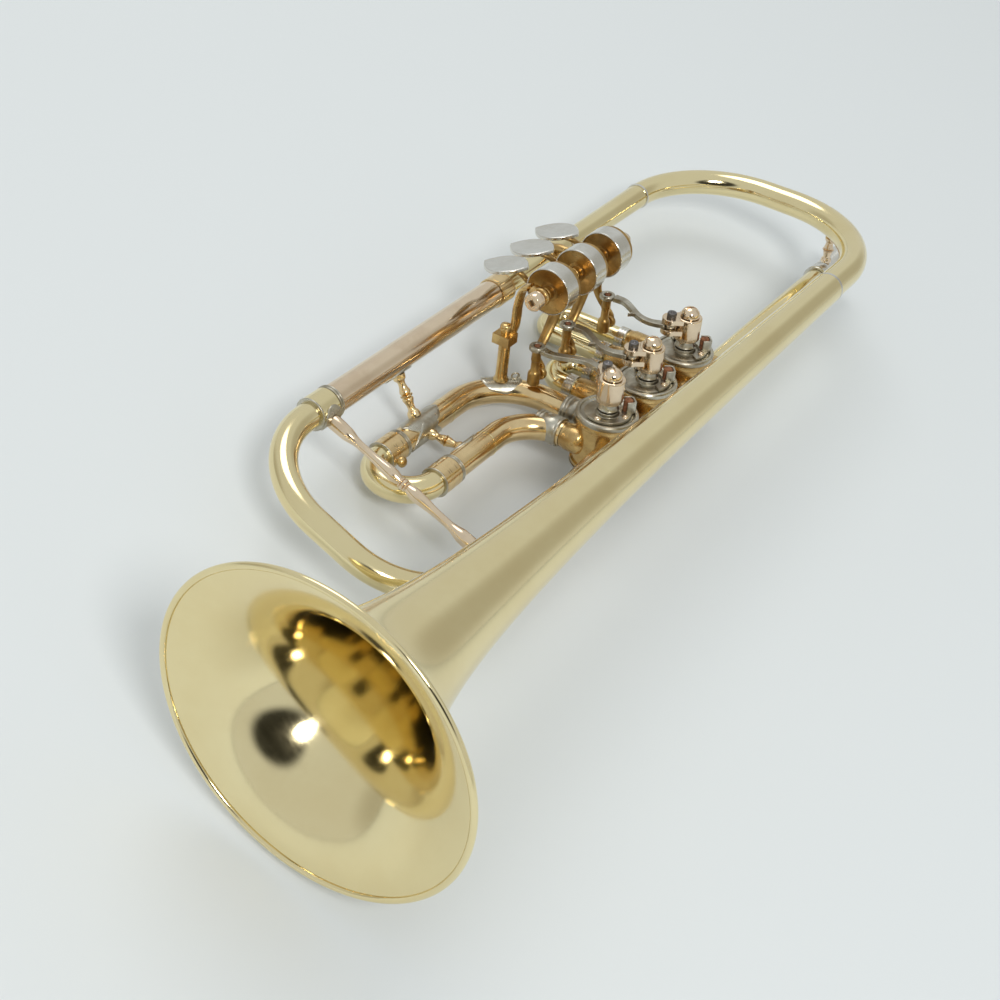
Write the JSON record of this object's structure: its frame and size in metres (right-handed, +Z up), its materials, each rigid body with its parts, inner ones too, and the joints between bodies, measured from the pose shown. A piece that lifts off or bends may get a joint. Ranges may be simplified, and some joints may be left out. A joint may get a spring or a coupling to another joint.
{
  "type": "rotary valve trumpet",
  "caption": "Trumpet with rotary valves, spring-barrel keys, S-shaped links, a front tuning slide and a slide for each valve, lying on its side.",
  "frame": {"origin": "centre of the bounding box at the surface that the instrument lies on", "axes": "+X from the bell rim to the back bow, +Y towards the keys and the straight slide tube, +Z up"},
  "size_m": [0.4882, 0.1856, 0.1361],
  "materials": {
    "aged_brass": "dull, tarnished brown",
    "bumper_cork": "dark brown cork",
    "nickel_silver": "satin worn",
    "polished_brass": "mirror polished, light tarnish",
    "rose_brass": "polished, pinkish"
  },
  "bodies": {
    "frame": {"axle_bracket_front": "aged_brass", "axle_bracket_rear": "aged_brass", "back_bow": "polished_brass", "back_bow_ferrule": "aged_brass", "bell": "polished_brass", "cork_bumper_1": "bumper_cork", "cork_bumper_2": "bumper_cork", "cork_bumper_3": "bumper_cork", "corner_brace": "rose_brass", "leadpipe": "polished_brass", "lever_axle": "aged_brass", "mouthpiece_receiver": "nickel_silver", "third_brace": "aged_brass", "third_leg_brace": "aged_brass", "third_outer_left": "aged_brass", "third_outer_right": "aged_brass", "tuning_outer_left": "rose_brass", "tuning_outer_right": "rose_brass", "valve_bottom_cap_1": "nickel_silver", "valve_bottom_cap_2": "nickel_silver", "valve_bottom_cap_3": "nickel_silver", "valve_cap_1": "nickel_silver", "valve_cap_2": "nickel_silver", "valve_cap_3": "nickel_silver", "valve_casing_1": "aged_brass", "valve_casing_2": "aged_brass", "valve_casing_3": "aged_brass"},
    "tuning_slide": {"tuning_bow": "polished_brass", "tuning_ferrule_left": "polished_brass", "tuning_ferrule_right": "polished_brass", "tuning_brace": "rose_brass"},
    "third_valve_slide": {"third_slide": "polished_brass", "third_ferrule_left": "nickel_silver", "third_ferrule_right": "nickel_silver"},
    "second_valve_slide": {"second_slide": "polished_brass"},
    "first_valve_slide": {"first_slide": "polished_brass"},
    "rotor_1": {"rotor_1": "aged_brass", "stop_arm_1": "rose_brass", "stop_screw_1": "rose_brass"},
    "key_1": {"lever_1": "aged_brass", "drum_band_1": "nickel_silver", "touch_1": "nickel_silver"},
    "link_1": {"link_1": "nickel_silver"},
    "post_1": {"link_post_1": "aged_brass"},
    "rotor_2": {"rotor_2": "aged_brass", "stop_arm_2": "rose_brass", "stop_screw_2": "rose_brass"},
    "key_2": {"lever_2": "aged_brass", "drum_band_2": "nickel_silver", "touch_2": "nickel_silver"},
    "link_2": {"link_2": "nickel_silver"},
    "post_2": {"link_post_2": "aged_brass"},
    "rotor_3": {"rotor_3": "aged_brass", "stop_arm_3": "rose_brass", "stop_screw_3": "rose_brass"},
    "key_3": {"lever_3": "aged_brass", "drum_band_3": "nickel_silver", "touch_3": "nickel_silver"},
    "link_3": {"link_3": "nickel_silver"},
    "post_3": {"link_post_3": "aged_brass"}
  },
  "joints": [
    {"name": "tuning_slide_travel", "type": "slide", "parent": "frame", "child": "tuning_slide", "axis": [-0.9993, 0, 0.0368], "range_m": [0, 0.025]},
    {"name": "third_slide_travel", "type": "slide", "parent": "frame", "child": "third_valve_slide", "axis": [-0.9993, 0, 0.0368], "range_m": [0, 0.02]},
    {"name": "second_slide_travel", "type": "slide", "parent": "frame", "child": "second_valve_slide", "axis": [-0.0094, 0.9665, -0.2564], "range_m": [0, 0.008]},
    {"name": "first_slide_travel", "type": "slide", "parent": "frame", "child": "first_valve_slide", "axis": [-0.0094, 0.9665, -0.2564], "range_m": [0, 0.012]},
    {"name": "key_1_press", "type": "hinge", "parent": "frame", "child": "key_1", "pos_m": [0.06829, 0.05466, 0.06071], "axis": [0.9993, 0, -0.0368], "range_deg": [-19, 0], "stiffness_Nm_per_rad": 0.1, "springref_deg": 20.05},
    {"name": "rotor_1_turn", "type": "hinge", "parent": "frame", "child": "rotor_1", "pos_m": [0.07992, -0.00118, 0.02335], "axis": [0.0356, 0.2566, 0.9659], "range_deg": [0, 90.5]},
    {"name": "link_1_swing", "type": "hinge", "parent": "rotor_1", "child": "link_1", "pos_m": [0.07464, 0.01201, 0.04903], "axis": [0.0356, 0.2566, 0.9659], "range_deg": [-90.5, 0]},
    {"name": "post_1_travel", "type": "slide", "parent": "frame", "child": "post_1", "axis": [0.0094, -0.9665, 0.2564], "range_m": [0, 0.01264]},
    {"name": "key_2_press", "type": "hinge", "parent": "frame", "child": "key_2", "pos_m": [0.0468, 0.05466, 0.0615], "axis": [0.9993, 0, -0.0368], "range_deg": [-19, 0], "stiffness_Nm_per_rad": 0.1, "springref_deg": 20.05},
    {"name": "rotor_2_turn", "type": "hinge", "parent": "frame", "child": "rotor_2", "pos_m": [0.04494, -0.00118, 0.02464], "axis": [0.0356, 0.2566, 0.9659], "range_deg": [0, 90.5]},
    {"name": "link_2_swing", "type": "hinge", "parent": "rotor_2", "child": "link_2", "pos_m": [0.03966, 0.01201, 0.05031], "axis": [0.0356, 0.2566, 0.9659], "range_deg": [-90.5, 0]},
    {"name": "post_2_travel", "type": "slide", "parent": "frame", "child": "post_2", "axis": [0.0094, -0.9665, 0.2564], "range_m": [0, 0.01264]},
    {"name": "key_3_press", "type": "hinge", "parent": "frame", "child": "key_3", "pos_m": [0.02532, 0.05466, 0.06229], "axis": [0.9993, 0, -0.0368], "range_deg": [-19, 0], "stiffness_Nm_per_rad": 0.1, "springref_deg": 20.05},
    {"name": "rotor_3_turn", "type": "hinge", "parent": "frame", "child": "rotor_3", "pos_m": [0.00997, -0.00118, 0.02592], "axis": [0.0356, 0.2566, 0.9659], "range_deg": [-90.5, 0]},
    {"name": "link_3_swing", "type": "hinge", "parent": "rotor_3", "child": "link_3", "pos_m": [0.01701, 0.01212, 0.05112], "axis": [0.0356, 0.2566, 0.9659], "range_deg": [0, 90.5]},
    {"name": "post_3_travel", "type": "slide", "parent": "frame", "child": "post_3", "axis": [0.0094, -0.9665, 0.2564], "range_m": [0, 0.01264]}
  ],
  "couplings": [
    {"joint": "rotor_1_turn", "follows": "key_1_press", "ratio": -4.7368},
    {"joint": "link_1_swing", "follows": "key_1_press", "ratio": 4.7368},
    {"joint": "post_1_travel", "follows": "key_1_press", "m_per_rad": -0.037529},
    {"joint": "rotor_2_turn", "follows": "key_2_press", "ratio": -4.7368},
    {"joint": "link_2_swing", "follows": "key_2_press", "ratio": 4.7368},
    {"joint": "post_2_travel", "follows": "key_2_press", "m_per_rad": -0.037529},
    {"joint": "rotor_3_turn", "follows": "key_3_press", "ratio": 4.7368},
    {"joint": "link_3_swing", "follows": "key_3_press", "ratio": -4.7368},
    {"joint": "post_3_travel", "follows": "key_3_press", "m_per_rad": -0.037529}
  ]
}
